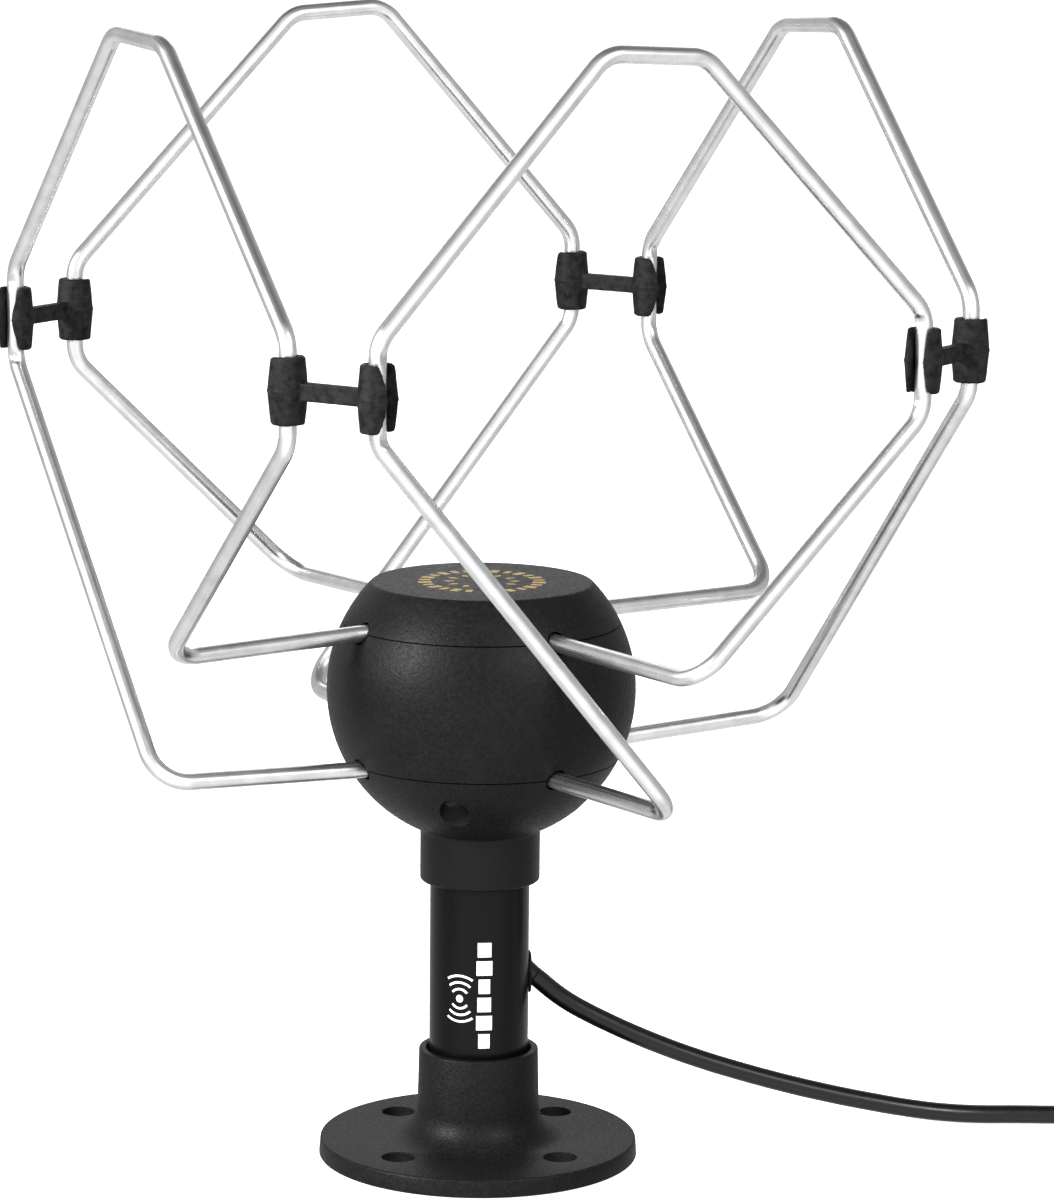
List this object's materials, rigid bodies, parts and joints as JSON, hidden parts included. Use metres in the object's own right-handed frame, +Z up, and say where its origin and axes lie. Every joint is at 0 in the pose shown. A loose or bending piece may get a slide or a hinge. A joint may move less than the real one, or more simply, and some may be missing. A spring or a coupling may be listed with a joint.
{
  "type": "loop television antenna",
  "caption": "Omnidirectional television antenna: bent aluminium rod loops around a black spherical head on a short mast, with a screw-down round base and a coaxial lead.",
  "frame": {"origin": "centre of the base's underside, on the mast's axis", "axes": "+Z up along the mast; +X and +Y between the screw holes of the base, which lie on the diagonals; the lead leaves towards +X"},
  "size_m": [0.3571, 0.2434, 0.2858],
  "materials": {
    "textured_black_plastic": "spark-textured moulded ABS, low sheen",
    "mast_black_lacquer": "satin black powder coat on aluminium tube",
    "black_rubber_plastic": "soft black thermoplastic, slight mould flash",
    "cable_jacket": "smooth PVC jacket, satin",
    "anodised_aluminium": "drawn and clear-anodised, satin",
    "circuit_board": "phenolic paper laminate",
    "ferrite": "sintered ferrite",
    "brass": "machined",
    "steel": "zinc plated",
    "nickel_plate": "bright nickel plate"
  },
  "bodies": {
    "stand": {"base_flange": "textured_black_plastic", "cable_grommet": "black_rubber_plastic", "centre_pin": "brass", "coax_coil": "cable_jacket", "coax_lead": "cable_jacket", "coax_tail": "cable_jacket", "coil_tie": "black_rubber_plastic", "connector_body": "nickel_plate", "crimp_ferrule": "nickel_plate", "inner_coax": "cable_jacket", "mast_tube": "mast_black_lacquer", "retaining_ring": "steel"},
    "head": {"balun_core": "ferrite", "clip_front": "black_rubber_plastic", "clip_left": "black_rubber_plastic", "clip_rear": "black_rubber_plastic", "clip_right": "black_rubber_plastic", "head_lower_bowl": "textured_black_plastic", "head_middle_band": "textured_black_plastic", "head_top_cover": "textured_black_plastic", "housing_screw_1": "steel", "housing_screw_2": "steel", "housing_screw_3": "steel", "housing_screw_4": "steel", "link_wire_1": "brass", "link_wire_2": "brass", "loop_front": "anodised_aluminium", "loop_left": "anodised_aluminium", "loop_rear": "anodised_aluminium", "loop_right": "anodised_aluminium", "lower_board": "circuit_board", "lower_terminal_1": "brass", "lower_terminal_2": "brass", "lower_terminal_3": "brass", "lower_terminal_4": "brass", "lower_terminal_screw_1": "steel", "lower_terminal_screw_2": "steel", "lower_terminal_screw_3": "steel", "lower_terminal_screw_4": "steel", "upper_board": "circuit_board", "upper_terminal_1": "brass", "upper_terminal_2": "brass", "upper_terminal_3": "brass", "upper_terminal_4": "brass", "upper_terminal_screw_1": "steel", "upper_terminal_screw_2": "steel", "upper_terminal_screw_3": "steel", "upper_terminal_screw_4": "steel"},
    "coupling_nut": {"coupling_nut": "nickel_plate"}
  },
  "joints": [
    {"name": "head_swivel", "type": "hinge", "parent": "stand", "child": "head", "pos_m": [0, 0, 0.08], "axis": [0, 0, 1], "range_deg": [-170, 170]},
    {"name": "nut_spin", "type": "hinge", "parent": "stand", "child": "coupling_nut", "pos_m": [0.226, 0.115, 0.0057], "axis": [0, 1, 0], "continuous": true}
  ]
}
